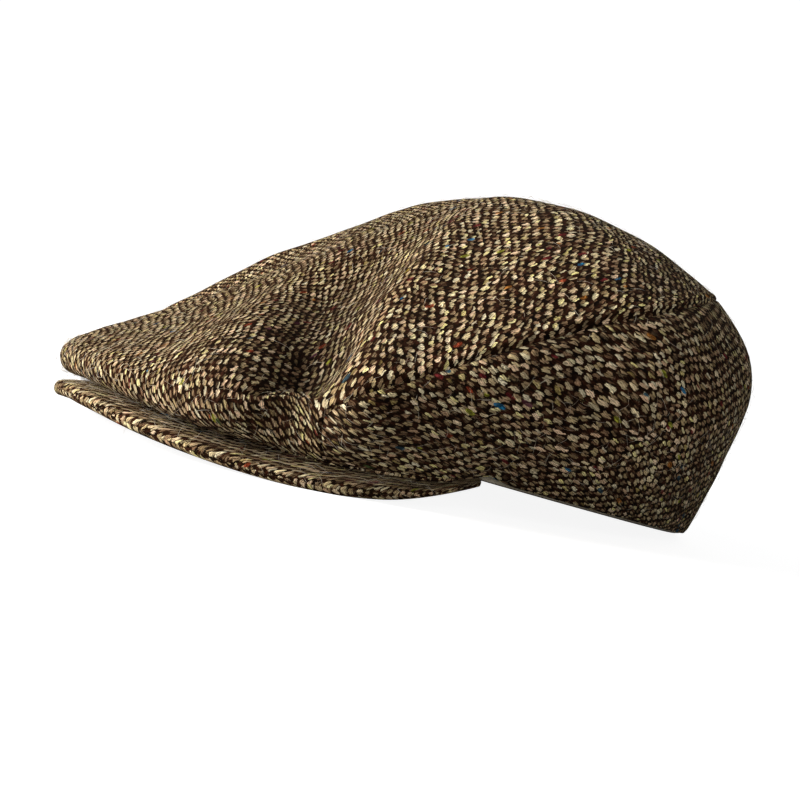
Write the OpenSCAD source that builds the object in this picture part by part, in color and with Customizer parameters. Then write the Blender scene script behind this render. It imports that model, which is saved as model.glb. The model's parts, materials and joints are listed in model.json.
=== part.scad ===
// Flat cap in tweed: a soft three-panel crown that leans forward over a stiff
// peak, with a lining, a sweatband and a hidden snap between crown and peak.
// The front of the cap faces -Y, the wearer's left is +X and +Z is up. It rests
// on the two drooping sides of the peak and on the hem at the nape.

/* [Head opening] */
// Half length of the head opening, at the outside of the cloth
head_half_l = 103; // [100:0.5:106]
// Half width of the head opening, at the outside of the cloth
head_half_w = 85; // [82:0.5:87]
// Drop of the hem at the nape, below the hem at the forehead
nape_drop = 5.5; // [3:0.5:8]

/* [Crown] */
// Height of the top of the crown above the forehead hem, before it leans forward
crown_h = 105; // [95:1:112]
// Reach of the crown ahead of its middle
crown_front = 149; // [145:0.5:152]
// Reach of the crown behind its middle
crown_back = 106; // [103:0.5:112]
// Half width of the crown
crown_half_w = 105; // [100:0.5:108]
// Height of the widest line of the crown at the front fold
rim_front_h = 6; // [5:0.5:7]
// Height of the widest line of the crown at the sides
rim_side_h = 35; // [30:0.5:38]
// Height of the widest line of the crown at the back
rim_back_h = 56; // [50:0.5:60]
// Height of the crest line above the front fold
nose_h = 6.5; // [6:0.5:9]

/* [Peak] */
// Length of the peak at the centre
peak_l = 50; // [46:0.5:54]
// Angle of each end of the peak from the centre of the front, in degrees
peak_end = 69; // [67:0.5:71]
// Slope of the peak at its centre, in degrees
peak_slope = 10.5; // [8:0.5:12]
// Slope of the peak at its ends, in degrees
peak_droop = 42; // [38:0.5:44]
// Distance from the front fold of the crown back from the edge of the peak
lip_setback = 14; // [12:0.5:17]

/* [Layers] */
// Thickness of the tweed
tweed_t = 1.8; // [1.4:0.1:2]
// Thickness of the peak's board
board_t = 1.8; // [1.5:0.1:2]
// Thickness of the lining
lining_t = 0.5; // [0.4:0.1:0.6]
// Thickness of the front interlining
interlining_t = 0.7; // [0.5:0.1:0.8]
// Thickness of the sweatband
sweatband_t = 1.2; // [1:0.1:1.4]
// Height of the sweatband
sweatband_h = 29; // [25:1:30]

/* [Snap] */
// Radius of the stud's and the socket's discs
snap_r = 4.5; // [4:0.1:5]
// Radius of the stud's post
post_r = 1.8; // [1.5:0.1:2]

/* [Stance] */
// Backward tilt at which the peak's sides and the nape hem both touch the ground
rest_tilt = 3; // [2.5:0.1:3.5]

/* [Hidden] */

// Colours of the materials
tweed_colour = [0.36, 0.30, 0.22];
under_peak_colour = [0.30, 0.25, 0.19];
lining_colour = [0.24, 0.16, 0.11];
leather_colour = [0.28, 0.17, 0.10];
tape_colour = [0.75, 0.70, 0.60];
board_colour = [0.85, 0.84, 0.80];
steel_colour = [0.45, 0.42, 0.36];
label_colour = [0.80, 0.76, 0.66];

// Shape of the crown
crown_mid = 1.5;          // the crown's middle ahead of the head opening's middle
front_square = 2.3;       // squareness of the crown's outline at the front
back_square = 1.9;        // squareness of the crown's outline at the back
dome_square = 2.3;        // fullness of the dome
crest_at = 11;            // where the crest line starts to fall
crest_soft = 16;          // length over which it starts to fall
wall_drop = 0.45;         // share of the wall's height that hangs straight down
front_level = 0.9;        // share of the front reach beyond which the fold runs level
front_sweep = 3.4;        // how late the widest line falls towards the front
crest_fall = (crown_h - rim_front_h - nose_h) / (crown_mid + crown_front - crest_at);

// Seams between the top panel and the side panels, as a radius: 0 is the middle
// of the crown, 1 its widest line and 2 its lower edge
seam_start = 45;          // angle at which the seam leaves the front fold
seam_rim = 52.5;          // angle at which it crosses the widest line
seam_back_rise = 0.5;     // how far above the widest line it climbs at the back
seam_ease = 45;           // angle over which it does most of that climb
seam_gap = 0.004;         // gap between the two panels at the seam
back_seam_gap = 0.15;     // half the gap at the centre back seam, in degrees

// Shape of the peak
droop_power = 1.6;        // how late the peak's slope grows towards its ends
length_power = 2.3;       // how late the peak's length shrinks towards its ends
peak_from = 0.02;         // where the peak starts outside the head opening
board_to = 0.94;          // where the board stops short of the peak's edge
board_end = 54;           // angle at which the board ends and the peak thins
edge_row = 0.97;          // the row of the covers between the board and the edge

// Stack of layers, as depths below the outside of the tweed
interlining_in = tweed_t + 0.7;
lining_in = interlining_in + interlining_t + 0.8;
label_in = lining_in + lining_t + 1;
label_t = 0.4;
tape_in = 2;
tape_t = 0.6;
tape_h = 12;
lining_foot_h = tape_h + 2;
sweatband_in = tape_in + tape_t + 0.3;
tab_in = sweatband_in + sweatband_t + 0.35;
tab_t = 0.7;
hem_turn = 0.6;           // height of the inner bands above the hem

// Stack of the peak, as heights above the middle of its board
cover_in = board_t / 2 + 0.12;
cover_out = cover_in + tweed_t - 0.12;
edge_half = 1.2;          // half the thickness of the peak's sewn edge
lip_clear = 0.5;          // clearance between the peak and the cloth above it
lip_at = 1 - lip_setback / peak_l;
facing_rise = 3.2;        // how far the facing stands off to clear the snap

// Snap, on the centre line
snap_at = 0.45;
snap_base = cover_out + 0.05;
stud_disc_h = 0.6;
post_h = 1.95;
socket_from = snap_base + stud_disc_h + 0.3;
socket_h = 1.45;
socket_wall = 0.35;       // thickness of the socket's closed end
socket_bore_r = post_r + 0.4;

// Sampling
dome_steps = 11;
wall_steps = 5;
half_turn = concat([for (u = [0:6:42]) u], [45, 46.5, 48, 50, 52.5, 56],
                   [for (u = [60:6:180]) u]);
last = len(half_turn) - 1;
full_turn = concat([for (i = [last:-1:1]) -half_turn[i]],
                   [for (i = [0:1:last - 1]) half_turn[i]]);
side_turn = concat([for (u = half_turn) if (u > seam_start && u < 180) u], [180 - back_seam_gap]);
even_turn = [for (u = [-180:7.5:172.5]) u];

function unit(v) = v / norm(v);
function mix(a, b, w) = a * (1 - w) + b * w;
function smooth(w) = let (c = min(max(w, 0), 1)) c * c * (3 - 2 * c);

// Hem of the head opening at angle u from the centre of the front
function hem(u) = [head_half_w * sin(u), -head_half_l * cos(u),
                   -nape_drop * pow((1 - cos(u)) / 2, 1.5)];

// A point inside the hem by inset, at a height above it
function band(u, inset, h) = [(head_half_w - inset) * sin(u), -(head_half_l - inset) * cos(u),
                              hem(u).z + h];

// Peak: its length, slope and outward direction at angle u
function peak_share(u) = min(abs(u) / peak_end, 1);
function peak_len(u) = peak_l * (1 - pow(peak_share(u), length_power));
function peak_angle(u) = peak_slope + (peak_droop - peak_slope) * pow(peak_share(u), droop_power);
function peak_out(u) = unit(2 * unit([head_half_l * sin(u), -head_half_w * cos(u), 0]) + [0, -1, 0]);

// Share of the peak's thickness that is left at angle u, and the height over its
// board at which the crown's cloth runs
function thinning(u) = mix(1, 0.4, smooth((abs(u) - board_end) / (peak_end - 3 - board_end)));
function lip_h(u) = cover_out * thinning(u) + lip_clear;

// A point of the peak: k is 0 at the hem and 1 at the edge, h is above the board
function peak(k, u, h) =
    let (out = peak_out(u), a = peak_angle(u), run = k * peak_len(u))
    hem(u) + out * (run * cos(a) + h * sin(a)) + [0, 0, h * cos(a) - run * sin(a)];

// Outline of the crown's widest line, and its height there
function outline(u) = let (n = cos(u) > 0 ? front_square : back_square)
    pow(pow(abs(cos(u)), n) + pow(abs(sin(u)), n), -1 / n);
function reach(u, t) = cos(u) > 0 ? crown_front - 1.6 * t : crown_back - t;
function fall_ahead(x) = pow(sin(90 * min(1, x / front_level)), front_sweep);
function rim_h(u, t) =
    let (x = cos(u) * outline(u)) x > 0 ? mix(rim_side_h, rim_front_h + 0.6 * t, fall_ahead(x))
                                        : mix(rim_side_h, rim_back_h, pow(-x, 1.5));

// Crest line of the crown at distance f ahead of the head opening's middle
function crest(f) = let (d = f - crest_at)
    crown_h - crest_fall * (d + sqrt(d * d + crest_soft * crest_soft)) / 2;

// The dome inside the widest line, at depth t below the outside of the cloth
function dome(r, u, t) =
    let (k = outline(u) * sin(90 * r), f = crown_mid + reach(u, t) * cos(u) * k, h = rim_h(u, t))
    [(crown_half_w - t) * sin(u) * k, -f,
     h + (crest(f) - t - h) * sqrt(1 - pow(sin(90 * r), dome_square))];

// Lower edge of the crown: on the peak at the front, at the hem elsewhere
function foot(u, t) =
    let (w = smooth((abs(u) - peak_end) / 6))
    mix(peak(lip_at, u, lip_h(u) + t), band(u, 0.7 * t, 0.7 * t), w);

// The wall below the widest line
function wall(v, u, t) =
    let (a = dome(1, u, t), c = foot(u, t), b = a - [0, 0, wall_drop * (a.z - c.z)])
    mix(mix(a, b, v), mix(b, c, v), v);

function crown(r, u, t) = r <= 1 ? dome(r, u, t) : wall(r - 1, u, t);

// Seam between the top panel and a side panel
function seam(u) = let (w = abs(u))
    w <= seam_start ? 2
    : w < seam_rim ? 1 + pow((seam_rim - w) / (seam_rim - seam_start), 1.4)
    : 1 - seam_back_rise * (1 - exp((seam_rim - w) / seam_ease));

// The lining follows the crown and then drops to its foot behind the sweatband
function lining_turn(u) = mix(0.5, 1.35, smooth((abs(u) - 30) / 50));
function lining(v, u, t) = v <= 1 ? crown(v * (1 + (lining_turn(u) - 1) * v), u, t)
    : mix(crown(lining_turn(u), u, t), band(u, tape_in + t - lining_in, lining_foot_h), v - 1);
lining_seam = 0.72;

// Height of the dome above a point of the ground plan
function dome_h(x, f, t) =
    let (d = f - crown_mid, n = d > 0 ? front_square : back_square,
         far = d > 0 ? crown_front - 1.6 * t : crown_back - t,
         rho = pow(pow(abs(d) / far, n) + pow(abs(x) / (crown_half_w - t), n), 1 / n),
         s = rho > 0 ? d / far / rho : 0,
         h = s > 0 ? mix(rim_side_h, rim_front_h + 0.6 * t, fall_ahead(s))
                   : mix(rim_side_h, rim_back_h, pow(-s, 1.5)))
    h + (crest(f) - t - h) * sqrt(1 - pow(rho, dome_square));

// Faces of a cover of the peak, as heights above the middle of the board; its edge
// is drawn in to meet the other cover
function cover_face(k) = k > board_to ? mix(cover_out, edge_half, pow((k - board_to) / (1 - board_to), 2))
                                      : cover_out;
function cover_back(k) = k > board_to ? mix(cover_in, 0.05, min(1, 2 * (k - board_to) / (1 - board_to)))
                                      : cover_in;
cover_rows = [peak_from, 0.2, 0.4, 0.6, 0.8, board_to, edge_row, 1];
function under_edge(k, u) = peak(k, u, -thinning(u) * cover_face(k));

// Stance on the ground
function leant(p) = [p.x, p.y * cos(rest_tilt) + p.z * sin(rest_tilt),
                     p.z * cos(rest_tilt) - p.y * sin(rest_tilt)];
stance = [for (u = full_turn) each [leant(crown(1, u, 0)), leant(foot(u, 0)),
                                    if (abs(u) < peak_end) leant(peak(1, u, -edge_half)),
                                    if (abs(u) < peak_end) leant(under_edge(edge_row, u))]];
ground = min([for (p = stance) p.z]);
middle = (min([for (p = stance) p.y]) + max([for (p = stance) p.y])) / 2;

module settle() translate([0, -middle, -ground]) rotate([-rest_tilt, 0, 0]) children();

// Triangles of a grid of nu columns by nv rows; the first row may be one point
function cell(i, j, nv, first, pole) = pole ? (j == 0 ? first : first + 1 + i * (nv - 1) + j - 1)
                                            : first + i * nv + j;
function grid_faces(nu, nv, ring, first, pole, turn) =
    [for (i = [0:1:ring ? nu - 1 : nu - 2]) for (j = [0:1:nv - 2])
        let (a = cell(i, j, nv, first, pole), b = cell((i + 1) % nu, j, nv, first, pole),
             c = cell((i + 1) % nu, j + 1, nv, first, pole), d = cell(i, j + 1, nv, first, pole))
        each (a == b ? [turn ? [a, d, c] : [a, c, d]]
              : turn ? [[a, c, b], [a, d, c]] : [[a, b, c], [a, c, d]])];
function strip(p, q, turn) =
    [for (i = [0:1:len(p) - 2])
        each (turn ? [[p[i], q[i], q[i + 1]], [p[i], q[i + 1], p[i + 1]]]
                   : [[p[i], q[i + 1], q[i]], [p[i], p[i + 1], q[i + 1]]])];

// A closed slab between an outer and an inner surface, each a function of a row
// value v and a column value u
module slab(us, vs, outer, inner, ring = false, pole = false) {
    nu = len(us);
    nv = len(vs);
    rows = pole ? [for (j = [1:1:nv - 1]) vs[j]] : vs;
    top = concat(pole ? [outer(vs[0], 0)] : [], [for (u = us) for (v = rows) outer(v, u)]);
    low = concat(pole ? [inner(vs[0], 0)] : [], [for (u = us) for (v = rows) inner(v, u)]);
    n = len(top);
    cols = ring ? [for (i = [0:1:nu]) i % nu] : [for (i = [0:1:nu - 1]) i];
    ends = [for (j = [0:1:nv - 1]) j];
    far_top = [for (i = cols) cell(i, nv - 1, nv, 0, pole)];
    near_top = [for (i = cols) cell(i, 0, nv, 0, pole)];
    first_top = [for (j = ends) cell(0, j, nv, 0, pole)];
    last_top = [for (j = ends) cell(nu - 1, j, nv, 0, pole)];
    polyhedron(concat(top, low), concat(
        grid_faces(nu, nv, ring, 0, pole, false),
        grid_faces(nu, nv, ring, n, pole, true),
        strip(far_top, [for (p = far_top) p + n], false),
        pole ? [] : strip(near_top, [for (p = near_top) p + n], true),
        ring ? [] : strip(first_top, [for (p = first_top) p + n], false),
        ring ? [] : strip(last_top, [for (p = last_top) p + n], true)), convexity = 8);
}

function steps(n) = [for (i = [0:1:n]) i / n];

// Outside of the crown
function top_row(v, u) = v * (1 + (seam(u) - seam_gap - 1) * v * v);
module top_panel() color(tweed_colour) settle()
    slab(full_turn, steps(dome_steps),
         function (v, u) crown(top_row(v, u), u, 0),
         function (v, u) crown(top_row(v, u), u, tweed_t), ring = true, pole = true);

function side_cloth(t) = function (v, u) crown(mix(min(seam(u) + seam_gap, 1.99), 2, v), u, t);
module left_side_panel() color(tweed_colour) settle()
    slab(side_turn, steps(wall_steps), side_cloth(0), side_cloth(tweed_t));

module right_side_panel() mirror([1, 0, 0]) left_side_panel();

// Turned-in cloth between the front fold and the hem, lying over the peak
module crown_under_facing() color(tweed_colour) settle() {
    rise = function (k, u) lip_h(u) + facing_rise * sin(180 * k / lip_at) * peak_len(u) / peak_l;
    slab([for (u = [-63:7:63]) u], [0.03, 0.1, 0.2, 0.32, 0.45, 0.58, lip_at - 0.02],
         function (k, u) peak(k, u, rise(k, u) + tweed_t),
         function (k, u) peak(k, u, rise(k, u)));
}

// Stiffening inside the front of the top panel
module front_interlining() color(board_colour) settle()
    slab([for (u = [-42:7:42]) u], [0.45, 0.55, 0.65, 0.75, 0.85],
         function (v, u) crown(v, u, interlining_in),
         function (v, u) crown(v, u, interlining_in + interlining_t));

// Lining
module lining_top() color(lining_colour) settle()
    slab(even_turn, [for (w = steps(8)) w * lining_seam],
         function (v, u) lining(v, u, lining_in),
         function (v, u) lining(v, u, lining_in + lining_t), ring = true, pole = true);

half_lining = [for (w = steps(24)) mix(0.2, 179.8, w)];
module lining_left() color(lining_colour) settle()
    slab(half_lining, [lining_seam + 0.005, 0.78, 0.84, 0.9, 0.95, 1, 1.5, 2],
         function (v, u) lining(v, u, lining_in),
         function (v, u) lining(v, u, lining_in + lining_t));

module lining_right() mirror([1, 0, 0]) lining_left();

// Bands around the head opening
module hem_band(us, inset, t, low, high, ring = false) settle()
    slab(us, [0, 1],
         function (v, u) band(u, inset, mix(high, low, v)),
         function (v, u) band(u, inset + t, mix(high, low, v)), ring = ring);

module headband_tape() color(tape_colour) hem_band(even_turn, tape_in, tape_t, hem_turn, tape_h, true);

module sweatband() color(leather_colour)
    hem_band(even_turn, sweatband_in, sweatband_t, hem_turn, hem_turn + sweatband_h, true);

module sweatband_back_tab() color(leather_colour)
    hem_band([176, 178, 180, 182, 184], tab_in, tab_t, hem_turn + 1, sweatband_h - 1);

module size_label() color(label_colour)
    hem_band([150, 153, 156, 159, 162], tab_in, label_t, sweatband_h - 16, sweatband_h - 2);

// Blank label sewn under the top of the lining
module maker_label() color(label_colour) settle()
    slab([for (y = [-18:6:18]) y], [for (x = [-30:6:30]) x],
         function (x, y) [x, y, dome_h(x, -y, label_in)],
         function (x, y) [x, y, dome_h(x, -y, label_in + label_t)]);

// Peak
peak_turn = [for (u = [-66:6:66]) u];

module peak_board() color(board_colour) settle()
    slab([for (u = [-board_end:6:board_end]) u], [0.04, 0.35, 0.65, board_to],
         function (k, u) peak(k, u, board_t / 2),
         function (k, u) peak(k, u, -board_t / 2));

module peak_top_cover() color(tweed_colour) settle()
    slab(peak_turn, cover_rows,
         function (k, u) peak(k, u, thinning(u) * cover_face(k)),
         function (k, u) peak(k, u, thinning(u) * cover_back(k)));

module peak_under_cover() color(under_peak_colour) settle()
    slab(peak_turn, cover_rows,
         function (k, u) peak(k, u, -thinning(u) * cover_back(k)),
         function (k, u) under_edge(k, u));

// Snap between the facing and the peak
module on_snap(h) settle() translate(peak(snap_at, 0, h)) rotate([peak_slope, 0, 0]) children();

module snap_stud() color(steel_colour) on_snap(snap_base) {
    cylinder(r = snap_r, h = stud_disc_h, $fn = 48);
    translate([0, 0, stud_disc_h]) cylinder(r = post_r, h = post_h - stud_disc_h, $fn = 32);
}

module snap_socket() color(steel_colour) on_snap(socket_from) difference() {
    cylinder(r = snap_r, h = socket_h, $fn = 48);
    translate([0, 0, -1]) cylinder(r = socket_bore_r, h = socket_h - socket_wall + 1, $fn = 32);
}

top_panel();
left_side_panel();
right_side_panel();
crown_under_facing();
front_interlining();
lining_top();
lining_left();
lining_right();
headband_tape();
sweatband();
sweatband_back_tab();
size_label();
maker_label();
peak_board();
peak_top_cover();
peak_under_cover();
snap_socket();
snap_stud();
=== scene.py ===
import json
import math

import bmesh
import bpy
import numpy as np
from mathutils import Matrix, Vector


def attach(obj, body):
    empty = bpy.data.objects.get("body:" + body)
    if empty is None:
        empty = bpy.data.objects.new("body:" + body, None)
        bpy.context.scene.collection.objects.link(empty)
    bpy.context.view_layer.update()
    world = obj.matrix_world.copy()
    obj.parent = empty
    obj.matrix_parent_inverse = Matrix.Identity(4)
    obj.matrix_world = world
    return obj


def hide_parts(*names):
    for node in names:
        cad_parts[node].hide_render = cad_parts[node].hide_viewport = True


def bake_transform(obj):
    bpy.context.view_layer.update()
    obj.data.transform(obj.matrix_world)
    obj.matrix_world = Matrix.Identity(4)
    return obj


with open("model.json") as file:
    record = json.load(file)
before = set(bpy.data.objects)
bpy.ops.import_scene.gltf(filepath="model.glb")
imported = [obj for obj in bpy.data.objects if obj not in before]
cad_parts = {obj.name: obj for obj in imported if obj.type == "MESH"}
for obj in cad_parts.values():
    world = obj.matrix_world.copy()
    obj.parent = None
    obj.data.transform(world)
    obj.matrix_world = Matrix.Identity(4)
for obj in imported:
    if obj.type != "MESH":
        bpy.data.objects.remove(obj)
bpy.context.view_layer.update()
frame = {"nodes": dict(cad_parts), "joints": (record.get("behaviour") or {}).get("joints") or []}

# A tweed flat cap. Lengths are in millimetres and angles in degrees until the meshes
# are made. Before it leans onto the ground the cap's front faces -Y, and u is the
# angle from the centre of the front towards +X, the wearer's left.
MM = 0.001

# Head opening
HEAD_L, HEAD_W, NAPE_DROP = 103.0, 85.0, 5.5
# Crown
CROWN_H, CROWN_FRONT, CROWN_BACK, CROWN_W = 105.0, 149.0, 106.0, 105.0
RIM_FRONT, RIM_SIDE, RIM_BACK, NOSE = 6.0, 35.0, 56.0, 6.5
CROWN_MID, FRONT_SQUARE, BACK_SQUARE, DOME_SQUARE = 1.5, 2.3, 1.9, 2.3
CREST_AT, CREST_SOFT, WALL_DROP, FRONT_LEVEL, FRONT_SWEEP = 11.0, 16.0, 0.45, 0.9, 3.4
CREST_FALL = (CROWN_H - RIM_FRONT - NOSE) / (CROWN_MID + CROWN_FRONT - CREST_AT)
SEAM_START, SEAM_RIM, SEAM_BACK_RISE, SEAM_EASE, BACK_GAP = 45.0, 52.5, 0.5, 45.0, 0.15
SEAM_GAP = 0.003
# A side panel starts at its seam, at SIDE_FROM at the latest, and ends at SIDE_TO:
# its rounded lower edge then stays above the ground
SIDE_FROM, SIDE_TO = 1.97, 1.985
# Peak
PEAK_L, PEAK_END, PEAK_SLOPE, PEAK_DROOP, LIP_SETBACK = 50.0, 69.0, 10.5, 42.0, 14.0
DROOP_POWER, LENGTH_POWER = 1.6, 2.3
LIP_AT = 1 - LIP_SETBACK / PEAK_L
BOARD_TO, BOARD_END, COVER_END, PEAK_FROM = 0.94, 54.0, 68.0, 0.02
# Layers, as depths below the outside of the tweed
TWEED_T, BOARD_T, LINING_T, INTERLINING_T, BAND_T = 1.8, 1.8, 0.5, 0.7, 1.2
INTERLINING_IN = TWEED_T + 0.7
LINING_IN = INTERLINING_IN + INTERLINING_T + 0.8
LABEL_IN, LABEL_T = LINING_IN + LINING_T + 1, 0.4
TAPE_IN, TAPE_T, TAPE_H, LINING_FOOT, LINING_SEAM = 2.0, 0.6, 12.0, 14.0, 0.72
BAND_IN, BAND_H, HEM_TURN = 2.9, 29.0, 0.6
TAB_IN, TAB_T = BAND_IN + BAND_T + 0.35, 0.7
COVER_GAP, COVER_EDGE = 0.12, 0.14
COVER_IN = BOARD_T / 2 + COVER_GAP
COVER_OUT = COVER_IN + TWEED_T - COVER_GAP
LIP_CLEAR, FACING_RISE = 0.5, 3.2
EDGE_ROW, EDGE_HALF = 0.97, 1.2
EDGE_FACE = COVER_OUT + (EDGE_HALF - COVER_OUT) * ((EDGE_ROW - BOARD_TO) / (1 - BOARD_TO)) ** 2
REST_TILT = math.radians(3.0)
# Place of the hinge between crown and peak along Y, in metres, from the frame
HINGE_Y = frame["joints"][0]["pos_m"][1]


def mix(a, b, w):
    return a * (1 - w) + b * w


def smooth(w):
    c = np.clip(w, 0, 1)
    return c * c * (3 - 2 * c)


def bell(x, width):
    return np.exp(-((x / width) ** 2))


def unit(v):
    return v / np.maximum(np.linalg.norm(v, axis=-1, keepdims=True), 1e-9)


def points(x, y, z):
    return np.stack(np.broadcast_arrays(x, y, z), -1).astype(float)


def turn(u):
    a = np.radians(u)
    return np.cos(a), np.sin(a)


# ---------------------------------------------------------------- the cap's surfaces
def hem(u):
    c, s = turn(u)
    return points(HEAD_W * s, -HEAD_L * c, -NAPE_DROP * ((1 - c) / 2) ** 1.5)


def band(u, inset, h):
    c, s = turn(u)
    return points((HEAD_W - inset) * s, -(HEAD_L - inset) * c, hem(u)[..., 2] + h)


def peak_share(u):
    """0 at the middle of the peak and 1 at its ends."""
    return np.minimum(np.abs(u) / PEAK_END, 1)


def peak_len(u):
    return PEAK_L * (1 - peak_share(u) ** LENGTH_POWER)


def thinning(u):
    """Thickness of the covers, which taper beyond the ends of the board."""
    return mix(1, 0.4, smooth((np.abs(u) - BOARD_END) / (PEAK_END - 3 - BOARD_END)))


def lip_h(u):
    return COVER_OUT * thinning(u) + LIP_CLEAR


def peak(k, u, h):
    """A point of the peak: k is 0 at the hem and 1 at the edge, h is above the board."""
    c, s = turn(u)
    out = unit(2 * unit(points(HEAD_L * s, -HEAD_W * c, 0)) + np.array([0, -1, 0]))
    a = np.radians(PEAK_SLOPE + (PEAK_DROOP - PEAK_SLOPE) * peak_share(u) ** DROOP_POWER)
    run = k * peak_len(u)
    return (hem(u) + out * (run * np.cos(a) + h * np.sin(a))[..., None]
            + points(0, 0, h * np.cos(a) - run * np.sin(a)))


def outline(u):
    """Radius of the ground plan, as a share of its width and length."""
    c, s = turn(u)
    n = np.where(c > 0, FRONT_SQUARE, BACK_SQUARE)
    return (np.abs(c) ** n + np.abs(s) ** n) ** (-1 / n)


def rim_h(along, t):
    ahead = np.sin(np.pi / 2 * np.clip(along / FRONT_LEVEL, 0, 1)) ** FRONT_SWEEP
    return np.where(along > 0, mix(RIM_SIDE, RIM_FRONT + 0.6 * t, ahead),
                    mix(RIM_SIDE, RIM_BACK, np.maximum(-along, 0) ** 1.5))


def crest(f):
    d = f - CREST_AT
    return CROWN_H - CREST_FALL * (d + np.sqrt(d * d + CREST_SOFT ** 2)) / 2


def dome(r, u, t):
    c, s = turn(u)
    rho = np.sin(np.pi / 2 * r)
    k = outline(u) * rho
    far = np.where(c > 0, CROWN_FRONT - 1.6 * t, CROWN_BACK - t)
    f = CROWN_MID + far * c * k
    h = rim_h(c * outline(u), t)
    rise = np.sqrt(np.maximum(1 - rho ** DOME_SQUARE, 0))
    return points((CROWN_W - t) * s * k, -f, h + (crest(f) - t - h) * rise)


def dome_h(x, f, t):
    """Height of the dome above a point of the ground plan."""
    d = f - CROWN_MID
    n = np.where(d > 0, FRONT_SQUARE, BACK_SQUARE)
    far = np.where(d > 0, CROWN_FRONT - 1.6 * t, CROWN_BACK - t)
    rho = ((np.abs(d) / far) ** n + (np.abs(x) / (CROWN_W - t)) ** n) ** (1 / n)
    h = rim_h(d / far / np.maximum(rho, 1e-6), t)
    return h + (crest(f) - t - h) * np.sqrt(1 - rho ** DOME_SQUARE)


def foot(u, t):
    w = smooth((np.abs(u) - PEAK_END) / 6)[..., None]
    return mix(peak(LIP_AT, u, lip_h(u) + t), band(u, 0.7 * t, 0.7 * t), w)


def wall(v, u, t):
    """The wall between the widest line and the lower edge, a curve of second degree."""
    rim, low = dome(1, u, t), foot(u, t)
    middle = rim.copy()
    middle[..., 2] -= WALL_DROP * (rim[..., 2] - low[..., 2])
    v = v[..., None]
    return mix(mix(rim, middle, v), mix(middle, low, v), v)


def crown(r, u, t=0.0):
    """The crown without its folds: r is 0 at the middle, 1 at the widest line and 2
    at the lower edge."""
    r, u = np.broadcast_arrays(np.asarray(r, float), np.asarray(u, float))
    return np.where((r <= 1)[..., None], dome(np.minimum(r, 1), u, t),
                    wall(np.maximum(r - 1, 0), u, t))


def crown_normal(r, u):
    r = np.clip(r, 0.02, 1.995)
    across = crown(r, u + 0.4) - crown(r, u - 0.4)
    down = crown(r + 0.004, u) - crown(r - 0.004, u)
    n = unit(np.cross(down, across))
    return np.where((n * (crown(r, u) - np.array([0, 0, 20.0]))).sum(-1, keepdims=True) < 0, -n, n)


def seam(u):
    """The row r of the seam between the top panel and a side panel."""
    w = np.abs(u)
    front = 1 + (np.clip(SEAM_RIM - w, 0, 99) / (SEAM_RIM - SEAM_START)) ** 1.4
    back = 1 - SEAM_BACK_RISE * (1 - np.exp((SEAM_RIM - w) / SEAM_EASE))
    return np.where(w <= SEAM_START, 2.0, np.where(w < SEAM_RIM, front, back))


# ---------------------------------------------------------------- folds of the soft crown
# The main fold leaves the corner where the side seam meets the peak and climbs the
# crown: a valley with a ridge behind it and a full pillow of cloth ahead of it.
FOLD_TOP = np.array([19.0, 58.0])
FOLD_WAY = np.array([0.768, 0.640])
FOLD_ACROSS = np.array([FOLD_WAY[1], -FOLD_WAY[0]])
FOLD_DEEP = 9.0
# The pocket near the corner: its extra depth, how far along the fold and how long
POCKET_DEEP, POCKET_AT, POCKET_LONG = 7.5, 66.0, 17.0
RIDGE_HIGH, PILLOW_HIGH = 5.0, 3.2
FAR_FOLD = 0.35    # strength of the fold on the other side
INNER_EASE = 0.85  # strength of the fold in the lining


def fold(p, wall_share):
    """Rises of the fold and of its pillow at points p of the +X side."""
    from_top = np.stack([p[..., 0], -p[..., 1]], -1) - FOLD_TOP
    along = from_top @ FOLD_WAY
    behind = from_top @ FOLD_ACROSS - 5.0 * wall_share
    pinch = 1 - 0.62 * wall_share
    low_end = smooth(along / 80)
    floor = behind + mix(18.0, 8.0, low_end)
    depth = (FOLD_DEEP + POCKET_DEEP * bell(along - POCKET_AT, POCKET_LONG)) * smooth((along + 45) / 75)
    valley = -depth * bell(floor, np.where(floor < 0, 9.5, mix(21.0, 15.0, low_end)))
    ridge = RIDGE_HIGH * smooth((along + 35) / 75) * bell(behind - mix(20, 14, low_end), 11)
    pillow = PILLOW_HIGH * smooth((along - 5) / 50) * bell(behind + 32, 14)
    return pinch * (valley + ridge), (1 - wall_share) * pillow


# Softer dents: place ahead, to the left and up, depth and radius
DENTS = [
    (24, 97, 46, 3.2, 17),
    (62, 84, 2, 2.4, 13),
    (-10, 78, 82, 1.2, 20),
    (-70, -60, 70, 1.6, 22),
    (52, -92, 46, 2.2, 18),
    (-60, -84, 60, 2.2, 20),
    (110, -14, 30, 1.0, 20),
]


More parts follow.
